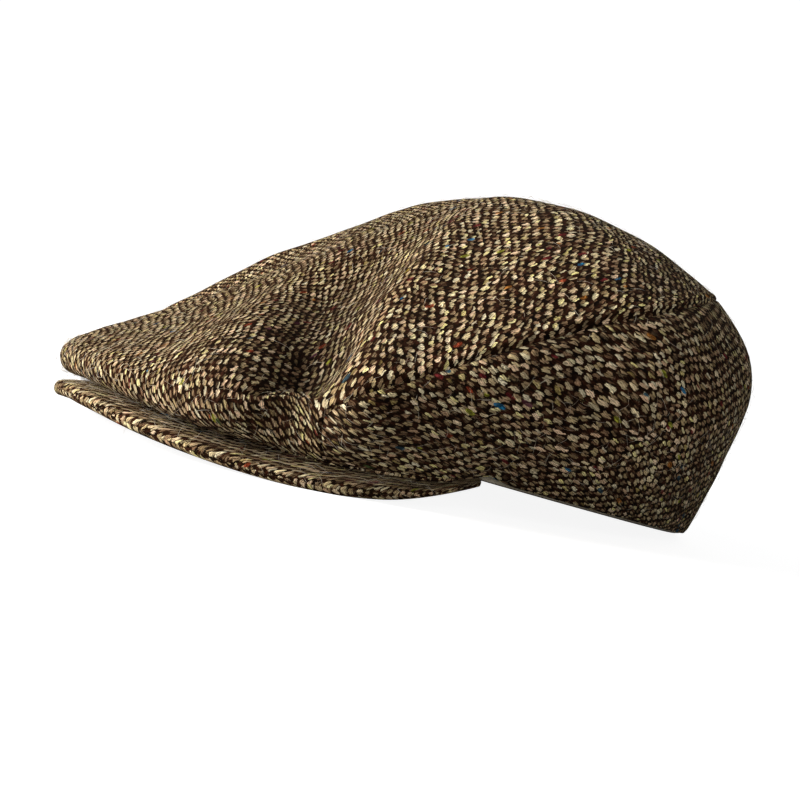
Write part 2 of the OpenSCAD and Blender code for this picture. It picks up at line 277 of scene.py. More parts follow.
def life(r, u, t=0.0):
    """How far the cloth stands off the plain crown at (r, u), at depth t."""
    p = crown(r, u, t)
    low = np.clip(r - 1, 0, 1)
    x = p[..., 0]
    mirrored = p * np.array([-1, 1, 1])
    ease = INNER_EASE if t >= LINING_IN else 1.0
    near, full_near = fold(p, low)
    away, _ = fold(mirrored, low)
    rise = ease * smooth((x + 5) / 30) * (near + full_near)
    rise = rise + FAR_FOLD * smooth((-x - 8) / 40) * away
    for ahead, left, up, depth, radius in DENTS:
        gap = np.linalg.norm(p - np.array([left, -ahead, up]), axis=-1)
        rise = rise - depth * bell(gap, radius)
    # Slight unevenness of the whole crown, and small puckers above the hem
    a, b, c = p[..., 0] / 9, p[..., 1] / 9, p[..., 2] / 9
    rise = rise + 0.4 * np.sin(1.1 * a + 0.7 * b + 1.3) * np.sin(0.8 * b - 0.9 * c + 0.4)
    rise = rise + 0.25 * np.sin(2.1 * a - 1.2 * b + 0.5 * c) * np.sin(1.7 * c + 1.1 * b + 2.0)
    rise = rise + 0.3 * low * np.sin(u / 4.1 + 1.5 * np.sin(u / 17)) * (np.abs(u) > 60)
    rise = rise * (1 - smooth((r - 1.45) / 0.5))
    # The front fold is a full roll of cloth, and the back of the crown is full
    front = 1 - smooth((np.abs(u) - 30) / 26)
    roll = 4.4 * bell(r - 1.56, 0.34) * (1 - smooth((r - 1.8) / 0.2))
    roll = roll - 1.7 * bell(r - 1.0, 0.15)
    full = 2.2 * smooth((np.abs(u) - 70) / 60) * bell(r - 0.86, 0.3) + 0.9 * bell(r - 0.1, 0.28)
    return rise + front * roll + full


def shell(r, u, t=0.0):
    """The crown with its folds, at depth t below the outside of the tweed."""
    r, u = np.broadcast_arrays(np.asarray(r, float), np.asarray(u, float))
    return crown(r, u, t) + crown_normal(r, u) * life(r, u, t)[..., None]


# ---------------------------------------------------------------- stance on the ground
def leant(p):
    c, s = math.cos(REST_TILT), math.sin(REST_TILT)
    return points(p[..., 0], p[..., 1] * c + p[..., 2] * s, p[..., 2] * c - p[..., 1] * s)


HALF_TURN = np.array([*range(0, 43, 6), 45, 46.5, 48, 50, 52.5, 56, *range(60, 181, 6)], float)
PEAK_TURN = HALF_TURN[HALF_TURN < PEAK_END]
STANCE = leant(np.concatenate([
    crown(1, HALF_TURN), foot(HALF_TURN, 0), peak(1, PEAK_TURN, -EDGE_HALF),
    peak(EDGE_ROW, PEAK_TURN, -EDGE_FACE * thinning(PEAK_TURN))]))
GROUND = STANCE[:, 2].min()
MIDDLE = (STANCE[:, 1].min() + STANCE[:, 1].max()) / 2


def place(p):
    """From the cap's own axes, in millimetres, to the shared frame, in metres."""
    return (leant(p) - np.array([0, MIDDLE, GROUND])) * MM


# ---------------------------------------------------------------- meshes
def grain(x, y, angle, shift):
    """Cloth coordinates along and across the grains of the weave."""
    c, s = turn(angle)
    return points(x * c + y * s, y * c - x * s, shift)


def lengths(p):
    """Length along each column of a grid of points."""
    step = np.linalg.norm(np.diff(p, axis=0), axis=-1)
    return np.concatenate([np.zeros((1, p.shape[1])), np.cumsum(step, 0)])


def border(n, m, ring, pole):
    """Loops of (row, column) around the open edges of a grid."""
    if ring:
        last = [(n - 1, j) for j in range(m)]
        return [last] if pole else [last, [(0, j) for j in range(m)]]
    return [[(0, j) for j in range(m)] + [(i, m - 1) for i in range(1, n)]
            + [(n - 1, j) for j in range(m - 2, -1, -1)] + [(i, 0) for i in range(n - 2, 0, -1)]]


def outward(p, ring, pole):
    """Unit directions that leave the grid at its open edges."""
    d = np.zeros_like(p)
    d[-1] += unit(p[-1] - p[-2])
    if not pole:
        d[0] += unit(p[0] - p[1])
    if not ring:
        d[:, 0] += unit(p[:, 0] - p[:, 1])
        d[:, -1] += unit(p[:, -1] - p[:, -2])
    return unit(d)


# Angles of the rows that round an edge
ROUND = (35, 65, 90, 115, 145)


def slab(name, outer, inner, cloth, ring=False, pole=False, material=None, wear_and_shade=None):
    """A closed piece of cloth between two grids of points, with rounded edges."""
    n, m = outer.shape[:2]
    verts = [outer.reshape(-1, 3), inner.reshape(-1, 3)]
    coords = [cloth.reshape(-1, 3), cloth.reshape(-1, 3)]
    worn_and_shaded = np.zeros((n, m)) if wear_and_shade is None else wear_and_shade
    wear_and_shade_rows = [worn_and_shaded.ravel(), worn_and_shaded.ravel()]
    faces = []
    columns = range(m if ring else m - 1)
    for i in range(n - 1):
        for j in columns:
            a, b = i * m + j, i * m + (j + 1) % m
            faces.append((a, b, b + m, a + m))
            faces.append(tuple(n * m + k for k in (a, a + m, b + m, b)))
    leave, leave_cloth = outward(outer, ring, pole), outward(cloth, ring, pole)
    count = 2 * n * m
    for loop in border(n, m, ring, pole):
        ids = np.array([i * m + j for i, j in loop])
        top, low = outer.reshape(-1, 3)[ids], inner.reshape(-1, 3)[ids]
        half = (top - low) / 2
        size = np.linalg.norm(half, axis=-1, keepdims=True)
        before = ids
        for angle in ROUND:
            c, s = turn(angle)
            verts.append((top + low) / 2 + half * c + leave.reshape(-1, 3)[ids] * size * s)
            bend = leave_cloth.reshape(-1, 3)[ids] * size * math.radians(angle)
            coords.append(cloth.reshape(-1, 3)[ids] + bend * np.array([1, 1, 0]))
            wear_and_shade_rows.append(worn_and_shaded.ravel()[ids])
            now = np.arange(count, count + len(ids))
            count += len(ids)
            faces += ring_faces(before, now)
            before = now
        faces += ring_faces(before, ids + n * m)
    return solid(name, np.concatenate(verts), faces, material,
                 np.concatenate(coords), np.concatenate(wear_and_shade_rows))


def ring_faces(a, b):
    k = len(a)
    return [(int(a[i]), int(b[i]), int(b[(i + 1) % k]), int(a[(i + 1) % k])) for i in range(k)]


def solid(name, verts, faces, material, cloth=None, wear_and_shade=None):
    """A mesh piece in the shared frame, from points in the cap's own axes."""
    name = "cap_" + name
    mesh = bpy.data.meshes.new(name)
    mesh.from_pydata(place(verts).tolist(), [], faces)
    if cloth is not None:
        place_in_cloth = mesh.attributes.new("cloth", "FLOAT_VECTOR", "POINT")
        place_in_cloth.data.foreach_set("vector", cloth.ravel())
    # A layer that lightens worn cloth and, on the top panel, darkens its hollows with painted shade
    if wear_and_shade is not None:
        tone_layer = mesh.attributes.new("wear_and_shade", "FLOAT", "POINT")
        tone_layer.data.foreach_set("value", wear_and_shade.ravel())
    work = bmesh.new()
    work.from_mesh(mesh)
    bmesh.ops.remove_doubles(work, verts=work.verts, dist=2e-6)
    bmesh.ops.recalc_face_normals(work, faces=work.faces)
    work.to_mesh(mesh)
    work.free()
    mesh.shade_smooth()
    piece = bpy.data.objects.new(name, mesh)
    bpy.context.scene.collection.objects.link(piece)
    if material:
        mesh.materials.append(material)
    return piece


def tubes(paths, radius, sides=3):
    """Closed tubes along the paths, an array (count, steps, 3), tapered at both ends."""
    count, steps = paths.shape[:2]
    ahead = unit(np.gradient(paths, axis=1))
    side = unit(np.cross(ahead, np.array([0.31, 0.17, 0.94])))
    other = np.cross(ahead, side)
    a = np.arange(sides) * 2 * np.pi / sides
    taper = np.maximum(np.sin(np.linspace(0.25, np.pi - 0.25, steps)), 0.4)
    rim = (side[:, :, None] * np.cos(a)[:, None] + other[:, :, None] * np.sin(a)[:, None])
    verts = (paths[:, :, None] + radius * taper[None, :, None, None] * rim).reshape(-1, 3)
    faces = []
    for c in range(count):
        base = c * steps * sides
        for i in range(steps - 1):
            for j in range(sides):
                p, q = base + i * sides + j, base + i * sides + (j + 1) % sides
                faces.append((p, q, q + sides, p + sides))
        faces.append(tuple(base + j for j in reversed(range(sides))))
        faces.append(tuple(base + (steps - 1) * sides + j for j in range(sides)))
    return verts, faces


def join(piece, extra):
    """Adds the mesh of extra to piece, keeping its material."""
    bpy.ops.object.select_all(action="DESELECT")
    extra.select_set(True)
    piece.select_set(True)
    bpy.context.view_layer.objects.active = piece
    bpy.ops.object.join()


# ---------------------------------------------------------------- materials
class Shader:
    """A material with helpers that chain its nodes."""

    def __init__(self, name, **sockets):
        self.material = bpy.data.materials.new(name)
        self.material.use_nodes = True
        self.tree = self.material.node_tree
        self.surface = next(n for n in self.tree.nodes if n.type == "BSDF_PRINCIPLED")
        for socket, value in sockets.items():
            self.surface.inputs[socket.replace("_", " ")].default_value = value

    def node(self, kind, values=(), **settings):
        n = self.tree.nodes.new(kind)
        for key, value in settings.items():
            setattr(n, key, value)
        for key, value in dict(values).items():
            self.put(n.inputs[key], value)
        return n

    def put(self, socket, value):
        if isinstance(value, bpy.types.NodeSocket):
            self.tree.links.new(value, socket)
        else:
            socket.default_value = value

    def math(self, what, a, b=0.0, c=0.0):
        return self.node("ShaderNodeMath", {0: a, 1: b, 2: c}, operation=what).outputs[0]

    def vector(self, what, a, b=(0, 0, 0)):
        return self.node("ShaderNodeVectorMath", {0: a, 1: b}, operation=what).outputs[0]

    def scaled(self, v, k):
        return self.node("ShaderNodeVectorMath", {0: v, "Scale": k}, operation="SCALE").outputs[0]

    def split(self, v):
        return self.node("ShaderNodeSeparateXYZ", {0: v}).outputs

    def joined(self, x, y, z=0.0):
        return self.node("ShaderNodeCombineXYZ", {0: x, 1: y, 2: z}).outputs[0]

    def noise(self, v, scale, detail=2.0):
        return self.node("ShaderNodeTexNoise", {"Vector": v, "Scale": scale, "Detail": detail})

    def ramp(self, factor, stops, steps=False):
        n = self.node("ShaderNodeValToRGB", {0: factor})
        n.color_ramp.interpolation = "CONSTANT" if steps else "LINEAR"
        while len(n.color_ramp.elements) < len(stops):
            n.color_ramp.elements.new(0.5)
        for element, (at, colour) in zip(n.color_ramp.elements, stops):
            element.position = at
            element.color = (*colour, 1)
        return n.outputs[0]

    def blend(self, factor, a, b, how="MIX"):
        n = self.node("ShaderNodeMix", {0: factor, 6: a, 7: b}, data_type="RGBA", blend_type=how)
        return n.outputs[2]

    def random(self, v):
        return self.node("ShaderNodeTexWhiteNoise", {"Vector": v}, noise_dimensions="3D").outputs

    def bump(self, height, distance, strength=1.0):
        n = self.node("ShaderNodeBump", {"Height": height, "Distance": distance, "Strength": strength})
        self.tree.links.new(n.outputs[0], self.surface.inputs["Normal"])

    def colour(self, value):
        self.put(self.surface.inputs["Base Color"], value)

    def attribute(self, name, output="Vector"):
        return self.node("ShaderNodeAttribute", attribute_name=name).outputs[output]


# Weave: the light grains lie in strips, a wide grain and a narrow one in each cell
STRIP, PITCH, STAGGER = 2.3, 3.9, 0.41
# For each kind of grain: start along its strip, place across it, half length, half width
WIDE_GRAIN = (0.0, 0.0, 1.40, 0.66)
NARROW_GRAIN = (1.75, 1.24, 1.22, 0.45)
NARROW_SEED = 7.3
# Lean of the grains, and how much more they lean in the top panel
LEAN, TOP_LEAN = -0.06, 0.36


def grains(s, along, across, seed, lean, kind):
    """One kind of grain of the weave: its bulge, above 0 inside it, and its random numbers."""
    start, side, half_l, half_w = kind
    strip = s.math("DIVIDE", s.math("SUBTRACT", across, side), STRIP)
    j = s.math("ROUND", strip)
    y = s.math("MULTIPLY", s.math("SUBTRACT", strip, j), STRIP)
    run = s.math("DIVIDE", s.math("SUBTRACT", along, start), PITCH)
    run = s.math("SUBTRACT", run, s.math("MULTIPLY", j, STAGGER))
    i = s.math("ROUND", run)
    x = s.math("MULTIPLY", s.math("SUBTRACT", run, i), PITCH)
    cell = s.joined(i, j, seed)
    value, colour = s.random(cell)
    r = s.split(colour)
    x = s.math("ADD", x, s.math("MULTIPLY_ADD", r[0], 0.7, -0.35))
    y = s.math("ADD", y, s.math("MULTIPLY_ADD", r[1], 0.3, -0.15))
    # The grains lean across their strip
    x, y = (s.math("SUBTRACT", x, s.math("MULTIPLY", y, lean)),
            s.math("ADD", y, s.math("MULTIPLY", x, lean)))
    y = s.math("MULTIPLY_ADD", x, s.math("MULTIPLY_ADD", r[2], 0.3, -0.15), y)
    size = s.math("MULTIPLY_ADD", value, 0.35, 0.82)
    x = s.math("ABSOLUTE", s.math("DIVIDE", x, s.math("MULTIPLY", size, half_l)))
    y = s.math("ABSOLUTE", s.math("DIVIDE", y, s.math("MULTIPLY", size, half_w)))
    bulge = s.math("SUBTRACT", 1.0, s.math("ADD", s.math("POWER", x, 2.6), s.math("POWER", y, 2.2)))
    return bulge, value, r


# Colours of the tweed as stops of a ramp: the light grains, the tint laid over them,
# the dark ground between them and the coloured slubs
LIGHT_WOOL = [(0.0, (0.070, 0.044, 0.026)), (0.25, (0.19, 0.130, 0.078)),
              (0.55, (0.37, 0.275, 0.175)), (0.80, (0.56, 0.450, 0.310)),
              (1.0, (0.80, 0.69, 0.51))]
WOOL_CAST = [(0.0, (1.0, 0.80, 0.70)), (0.30, (1.0, 0.92, 0.84)), (0.62, (1.0, 0.98, 0.76)),
             (0.86, (0.86, 0.90, 0.86)), (1.0, (0.95, 0.96, 0.52))]
DARK_WOOL = [(0.30, (0.003, 0.0015, 0.001)), (0.50, (0.012, 0.0045, 0.0015)),
             (0.66, (0.038, 0.012, 0.006)), (0.8, (0.036, 0.022, 0.009))]
SLUBS = [(0.0, (0.16, 0.015, 0.02)), (0.24, (0.30, 0.05, 0.02)), (0.40, (0.42, 0.16, 0.03)),
         (0.54, (0.35, 0.35, 0.04)), (0.68, (0.10, 0.02, 0.05)), (0.80, (0.02, 0.07, 0.10)),
         (0.90, (0.01, 0.16, 0.32)), (0.96, (0.06, 0.10, 0.03))]


def tweed(name, lightness=1.0):
    s = Shader(name, Roughness=0.88, Specular_IOR_Level=0.04, Sheen_Weight=0.014, Sheen_Roughness=0.5)
    s.surface.inputs["Sheen Tint"].default_value = (0.80, 0.68, 0.50, 1)
    cloth = s.attribute("cloth")
    wear_and_shade = s.attribute("wear_and_shade", "Fac")
    wander = s.vector("SUBTRACT", s.noise(cloth, 0.045, 1.0).outputs[1], (0.5, 0.5, 0.5))
    shiver = s.vector("SUBTRACT", s.noise(cloth, 0.55, 2.0).outputs[1], (0.5, 0.5, 0.5))
    moved = s.vector("ADD", cloth, s.vector("ADD", s.scaled(wander, 7.0), s.scaled(shiver, 1.5)))
    moved = s.split(moved)
    batch = s.split(cloth)[2]
    lean = s.math("MULTIPLY_ADD", s.math("LESS_THAN", batch, 1.0), TOP_LEAN, LEAN)
    bulge_1, value_1, random_1 = grains(s, moved[0], moved[1], batch, lean, WIDE_GRAIN)
    batch = s.math("ADD", batch, NARROW_SEED)
    bulge_2, value_2, random_2 = grains(s, moved[0], moved[1], batch, lean, NARROW_GRAIN)
    bulge = s.math("MAXIMUM", bulge_1, bulge_2)
    first = s.math("GREATER_THAN", bulge_1, bulge_2)
    second = s.math("SUBTRACT", 1.0, first)
    value = s.math("MULTIPLY_ADD", value_1, first, s.math("MULTIPLY", value_2, second))
    tint = s.math("MULTIPLY_ADD", random_1[2], first, s.math("MULTIPLY", random_2[0], second))
    # Fibres within the yarns, fine along the grain, and plies across it
    fibre_at = s.vector("MULTIPLY", s.vector("ADD", cloth, s.scaled(shiver, 1.2)), (0.9, 4.2, 1.0))
    fibre = s.noise(fibre_at, 1.0, 3.0).outputs[0]
    ply = s.math("SINE", s.math("MULTIPLY_ADD", moved[1], 11.5, s.math("MULTIPLY", moved[0], 2.1)))
    fibre = s.math("SUBTRACT", fibre, 0.5)
    shade = s.math("MULTIPLY_ADD", fibre, 3.6, s.math("MULTIPLY_ADD", ply, 0.34, 0.98))
    edge = s.math("MULTIPLY_ADD", fibre, 2.6, bulge)
    lit = s.node("ShaderNodeMapRange", {0: edge, 1: 0.12, 2: 0.45}, interpolation_type="SMOOTHSTEP")
    lit = lit.outputs[0]
    light = s.ramp(value, LIGHT_WOOL)
    cast = s.ramp(tint, WOOL_CAST)
    light = s.blend(1.0, light, cast, "MULTIPLY")
    # Coloured slubs
    slub_at = s.vector("MULTIPLY", cloth, (0.20, 0.42, 1.0))
    slub_at = s.vector("ADD", slub_at, s.scaled(shiver, 0.3))
    slub = s.node("ShaderNodeTexVoronoi", {"Vector": slub_at, "Scale": 1.0})
    pick = s.split(slub.outputs["Color"])
    small = s.math("LESS_THAN", slub.outputs[0], 0.34)
    is_slub = s.math("MULTIPLY", s.math("GREATER_THAN", pick[0], 0.90), small)
    slub_colour = s.ramp(pick[1], SLUBS, steps=True)
    ground_at = s.vector("MULTIPLY", cloth, (0.25, 0.6, 1.0))
    dark = s.ramp(s.noise(ground_at, 1.0, 2.0).outputs[0], DARK_WOOL)
    colour = s.blend(lit, dark, light)
    is_slub = s.math("MULTIPLY", is_slub, s.math("MULTIPLY_ADD", lit, 0.55, 0.4))
    colour = s.blend(is_slub, colour, slub_colour)
    # A lightness below 1 darkens the whole cloth; the under cover of the peak uses it as painted shade
    patch = s.math("MULTIPLY_ADD", s.noise(cloth, 0.035, 2.0).outputs[0], 0.5, 0.75 * lightness)
    strength = s.math("MULTIPLY", s.math("MAXIMUM", shade, 0.25), patch)
    # Lighter where the cloth is worn, and on the top panel darker in the hollows of its folds: painted
    # shade
    strength = s.math("MULTIPLY", strength, s.math("MULTIPLY_ADD", wear_and_shade, 0.25, 1.0))
    s.colour(s.scaled(colour, strength))
    yarn = s.math("POWER", s.math("MAXIMUM", bulge, 0.0), 0.55)
    height = s.math("MULTIPLY_ADD", fibre, 0.42, yarn)
    height = s.math("MULTIPLY_ADD", ply, 0.08, height)
    s.bump(height, 0.42 * MM)
    return s.material


def wool(name):
    s = Shader(name, Roughness=0.7, Specular_IOR_Level=0.25, Sheen_Weight=0.3)
    s.colour(s.ramp(s.split(s.random(s.attribute("cloth"))[1])[0],
                    [(0.0, (0.55, 0.47, 0.33)), (0.6, (0.72, 0.66, 0.52)), (0.85, (0.25, 0.15, 0.08))]))
    return s.material


def satin():
    s = Shader("lining_satin", Roughness=0.36, Specular_IOR_Level=0.5, Sheen_Weight=0.35,
               Sheen_Roughness=0.3, Anisotropic=0.5)
    cloth = s.attribute("cloth")
    crease = s.noise(cloth, 0.06, 4.0).outputs[0]
    x, y, _ = s.split(cloth)
    twill = s.math("SINE", s.math("MULTIPLY", s.math("ADD", x, y), 9.0))
    # The colour follows the creases that the bump raises: darker in their hollows and lighter on their
    # crests, painted shade and painted sheen
    tone = s.math("ADD", crease, s.math("MULTIPLY", twill, 0.05))
    s.colour(s.ramp(tone, [(0.25, (0.030, 0.013, 0.007)), (0.55, (0.062, 0.030, 0.017)),
                           (0.8, (0.105, 0.058, 0.035))]))
    s.bump(s.math("MULTIPLY_ADD", twill, 0.03, s.math("MULTIPLY", crease, 1.4)), 1.0 * MM, 0.8)
    return s.material


def leather():
    s = Shader("sweatband_leather", Roughness=0.5, Specular_IOR_Level=0.4, Coat_Weight=0.08)
    cloth = s.attribute("cloth")
    cell = s.node("ShaderNodeTexVoronoi", {"Vector": cloth, "Scale": 1.15},
                  feature="DISTANCE_TO_EDGE").outputs[0]
    blotch = s.noise(cloth, 0.09, 4.0).outputs[0]
    s.colour(s.ramp(blotch, [(0.3, (0.055, 0.025, 0.012)), (0.55, (0.105, 0.050, 0.024)),
                             (0.8, (0.17, 0.09, 0.045))]))
    s.put(s.surface.inputs["Roughness"], s.math("MULTIPLY_ADD", blotch, 0.35, 0.34))
    s.bump(s.math("MINIMUM", cell, 0.22), 0.45 * MM, 0.9)
    return s.material


def plain_weave(name, tones, threads, depth, rough=0.8):
    """A plain cloth: threads per millimetre, over and under."""
    s = Shader(name, Roughness=rough, Specular_IOR_Level=0.25, Sheen_Weight=0.2)
    x, y, _ = s.split(s.attribute("cloth"))
    k = threads * math.pi
    warp, weft = (s.math("SINE", s.math("MULTIPLY", along, k)) for along in (x, y))
    over = s.math("MULTIPLY", warp, weft)
    mottle = s.noise(s.attribute("cloth"), 0.3, 3.0).outputs[0]
    s.colour(s.ramp(s.math("MULTIPLY_ADD", over, 0.12, mottle), [(0.3, tones[0]), (0.7, tones[1])]))
    s.bump(s.math("MULTIPLY_ADD", mottle, 0.4, over), depth * MM)
    return s.material


def pressed_board():
    s = Shader("peak_board_plastic", Roughness=0.45, Specular_IOR_Level=0.4)
    mottle = s.noise(s.attribute("cloth"), 0.4, 4.0).outputs[0]
    s.colour(s.ramp(mottle, [(0.3, (0.62, 0.60, 0.54)), (0.7, (0.78, 0.77, 0.72))]))
    s.bump(mottle, 0.12 * MM)
    return s.material


def snap_metal():
    s = Shader("snap_metal", Metallic=1.0, Roughness=0.34)
    at = s.node("ShaderNodeTexCoord").outputs["Object"]
    tarnish = s.noise(at, 420.0, 4.0).outputs[0]
    s.colour(s.ramp(tarnish, [(0.3, (0.24, 0.20, 0.13)), (0.7, (0.46, 0.41, 0.31))]))
    s.put(s.surface.inputs["Roughness"], s.math("MULTIPLY_ADD", tarnish, 0.4, 0.16))
    s.bump(tarnish, 0.05 * MM)
    return s.material


TWEED = tweed("tweed_barleycorn")
# The under cover of the peak is the same tweed a little darker: painted shade of the underside
UNDER_TWEED_SHADED = tweed("tweed_under_shaded", 0.95)
WOOL = wool("wool_fibres")
SATIN, LEATHER = satin(), leather()
CANVAS = plain_weave("interlining_canvas", [(0.42, 0.37, 0.28), (0.62, 0.57, 0.46)], 1.1, 0.25)
TAPE = plain_weave("cotton_tape_weave", [(0.40, 0.34, 0.24), (0.60, 0.54, 0.42)], 1.8, 0.15)
LABEL = plain_weave("label_satin", [(0.50, 0.44, 0.32), (0.64, 0.58, 0.45)], 3.0, 0.06, 0.5)
THREAD = plain_weave("sewing_thread", [(0.30, 0.20, 0.11), (0.42, 0.30, 0.18)], 2.4, 0.05, 0.6)
BOARD, METAL = pressed_board(), snap_metal()

# ---------------------------------------------------------------- stray wool fibres
rng = np.random.default_rng(11)


def add_fibres(piece, surface, rows, columns, count):
    """Fine curved fibres that stand off a piece of tweed; surface(r, u) gives it."""
    r = rng.uniform(*rows, count)
    u = rng.uniform(*columns, count)
    root = surface(r, u)
    a = surface(r + 0.01, u) - surface(r - 0.01, u)
    b = surface(r, u + 0.5) - surface(r, u - 0.5)
    n = unit(np.cross(a, b))
    n = np.where((n * (root - np.array([0, 0, 20.0]))).sum(-1, keepdims=True) < 0, -n, n)
    angle = rng.uniform(0, 2 * np.pi, count)[:, None]
    way = unit(unit(a) * np.cos(angle) + unit(b) * np.sin(angle))
    aside = np.cross(n, way)
    length = rng.uniform(2.0, 6.5, count)[:, None]
    rise = rng.uniform(0.15, 1.0, count)[:, None]
    bow = rng.uniform(-0.45, 0.45, count)[:, None]
    steps = np.linspace(0, 1, 5)
    path = [root + way * length * w + aside * length * bow * w * w
            + n * (0.05 + rise * math.sin(math.pi * w) + 0.4 * rise * w) for w in steps]
    verts, faces = tubes(np.stack(path, 1), 0.045)
    hairs = solid("fibres", verts, faces, WOOL, np.repeat(root, len(steps) * 3, 0))
    join(piece, hairs)


# ---------------------------------------------------------------- the crown
def to_edge(p, far=True):
    """Distance in millimetres of each point of a grid from its last or first row."""
    run = lengths(p)
    return run[-1] - run if far else run


SEAM_SINK, SEAM_WIDE, RIDGE_AT, RIDGE_WIDE = 0.85, 1.4, 3.2, 2.0


def sewn(distance, ridge):
    """Drop of the cloth into a seam, and the ridge of its allowance beside it."""
    return -SEAM_SINK * bell(distance, SEAM_WIDE) + ridge * bell(distance - RIDGE_AT, RIDGE_WIDE)


def full_turn(n):
    return np.linspace(-180, 180, n, endpoint=False)[None]


def top_panel():
    v = np.concatenate([np.linspace(0, 0.93, 76), np.linspace(0.93, 1, 14)[1:]])[:, None]
    u = full_turn(400)
    r = v * (1 + (seam(u) - SEAM_GAP - 1) * v * v)
    outer, inner = shell(r, u), shell(r, u, TWEED_T)
    run = lengths(outer)
    c, s = turn(u)
    near = to_edge(outer)
    outer = outer + crown_normal(r, u) * sewn(near, 0.55 * (np.abs(u) > SEAM_START))[..., None]
    cloth = grain(run * s, run * c, 66, 0.0)
    # The seams and the front fold are rubbed lighter, and the deep fold and the other hollows of the crown
    # are darkened with painted shade
    tone_layer = 0.8 * bell(near - 3.4, 2.5) + 0.5 * bell(r - 1.15, 0.25) * (np.abs(u) < 60)
    painted_fold_shade = smooth(-life(r, u) / 12)
    piece = slab("top_panel", outer, inner, cloth, ring=True, pole=True, material=TWEED,
                 wear_and_shade=tone_layer - 2.0 * painted_fold_shade)
    add_fibres(piece, shell, (0.05, 1.0), (-180, 180), 900)
    add_fibres(piece, shell, (0.9, 1.9), (-44, 44), 260)
    return piece


def side_panel(side):
    name = "left_side_panel" if side > 0 else "right_side_panel"
    steps = np.concatenate([np.linspace(0, 0.09, 8), np.linspace(0.09, 1, 38)[1:]])[:, None]
    u = np.concatenate([np.linspace(45.25, 56, 24), np.linspace(56, 178.5, 150)[1:],
                        np.linspace(178.5, 180 - BACK_GAP, 5)[1:]])[None]
    r = mix(np.minimum(seam(u) + SEAM_GAP, SIDE_FROM), SIDE_TO, steps)
    r, u = np.broadcast_arrays(r, side * u)
    outer, inner = shell(r, u), shell(r, u, TWEED_T)
    lower = shell(np.full(u.shape[1], 2.0), u[0])
    run = np.concatenate([[0], np.cumsum(np.linalg.norm(np.diff(lower, axis=0), axis=-1))])
    behind = np.abs(run[-1] - run)[None]
    rise = sewn(to_edge(outer, far=False), 0.1) + sewn(behind, 0.45) - 0.5 * bell(to_edge(outer), 1.2)
    outer = outer + crown_normal(r, u) * rise[..., None]
    cloth = grain(side * run[None], to_edge(outer), 150, 3.0 + side)
    piece = slab(name, outer, inner, cloth, material=TWEED, wear_and_shade=0.6 * bell(to_edge(outer), 3.0))
    span = (46, 179) if side > 0 else (-179, -46)
    add_fibres(piece, shell, (1.0, 1.9), span, 420)
    return piece


def facing():
    u = np.linspace(-63, 63, 127)[None]
    k = np.linspace(0.03, LIP_AT - 0.02, 24)[:, None]
    k, u = np.broadcast_arrays(k, u)
    rise = lip_h(u) + FACING_RISE * np.sin(np.pi * k / LIP_AT) * peak_len(u) / PEAK_L
    outer, inner = peak(k, u, rise + TWEED_T), peak(k, u, rise)
    cloth = grain(HEAD_L * np.radians(u), k * peak_len(u), 105, 9.0)
    return slab("crown_under_facing", outer, inner, cloth, material=TWEED)


# ---------------------------------------------------------------- the lining
def lining(v, u, t):
    turn_at = mix(0.5, 1.35, smooth((np.abs(u) - 30) / 50))
    upper = shell(np.minimum(v, 1) * (1 + (turn_at - 1) * np.minimum(v, 1)), u, t)
    share = np.maximum(v - 1, 0)[..., None]
    return mix(upper, band(u, TAPE_IN + t - LINING_IN, LINING_FOOT), share)


def lining_piece(name, v, u, ring=False, shift=0.0):
    v, u = np.broadcast_arrays(v, u)
    pucker = 0.12 * np.sin(u * 1.9) * bell(v - LINING_SEAM, 0.05)
    outer, inner = lining(v, u, LINING_IN + pucker.mean()), lining(v, u, LINING_IN + LINING_T)
    run = lengths(outer)
    c, s = turn(u)
    cloth = grain(run * s, run * c, 30, shift)
    return slab(name, outer, inner, cloth, ring=ring, pole=ring, material=SATIN)


def lining_pieces():
    top = lining_piece("lining_top", np.linspace(0, LINING_SEAM, 50)[:, None], full_turn(180), True)
    v = np.concatenate([np.linspace(LINING_SEAM + 0.005, 1, 20), np.linspace(1, 2, 24)[1:]])[:, None]
    left = lining_piece("lining_left", v, np.linspace(0.2, 179.8, 120)[None], shift=2.0)
    right = lining_piece("lining_right", v, -np.linspace(0.2, 179.8, 120)[None], shift=4.0)
    return top, left, right


def interlining():
    u = np.linspace(-42, 42, 64)[None]
    r = np.linspace(0.45, 0.85, 36)[:, None]
    outer, inner = shell(r, u, INTERLINING_IN), shell(r, u, INTERLINING_IN + INTERLINING_T)
    run = lengths(outer)
    return slab("front_interlining", outer, inner, points(1.6 * u, run, 0.0), material=CANVAS)


# ---------------------------------------------------------------- bands and labels
def hem_band(name, u, inset, t, low, high, material, ring=False, rows=12, roll=0.0):
    """A band around the head opening; roll swells its two edges inwards."""
    v = np.linspace(0, 1, rows)[:, None]
    u = u + 0 * v
    swell = roll * (bell(v, 0.09) + bell(1 - v, 0.09))
    outer = band(u, inset, mix(high, low, v))
    inner = band(u, inset + t + swell, mix(high, low, v))
    cloth = points(np.radians(u) * (HEAD_L + HEAD_W) / 2, (1 - v) * (high - low), 0.0)
    return slab(name, outer, inner, cloth, ring=ring, material=material)


def stitches(piece, path, length=2.6, gap=1.1, radius=0.22):
    """Sewing thread along a path of points: closed stitches, joined to the piece."""
    step = np.linalg.norm(np.diff(path, axis=0), axis=-1)
    run = np.concatenate([[0], np.cumsum(step)])
    starts = np.arange(0, run[-1] - length, length + gap)
    at = starts[:, None] + np.linspace(0, length, 5)[None]
    lines = np.stack([np.interp(at, run, path[:, k]) for k in range(3)], -1)
    verts, faces = tubes(lines, radius, 6)
    thread = solid("thread", verts, faces, THREAD, verts)
    join(piece, thread)


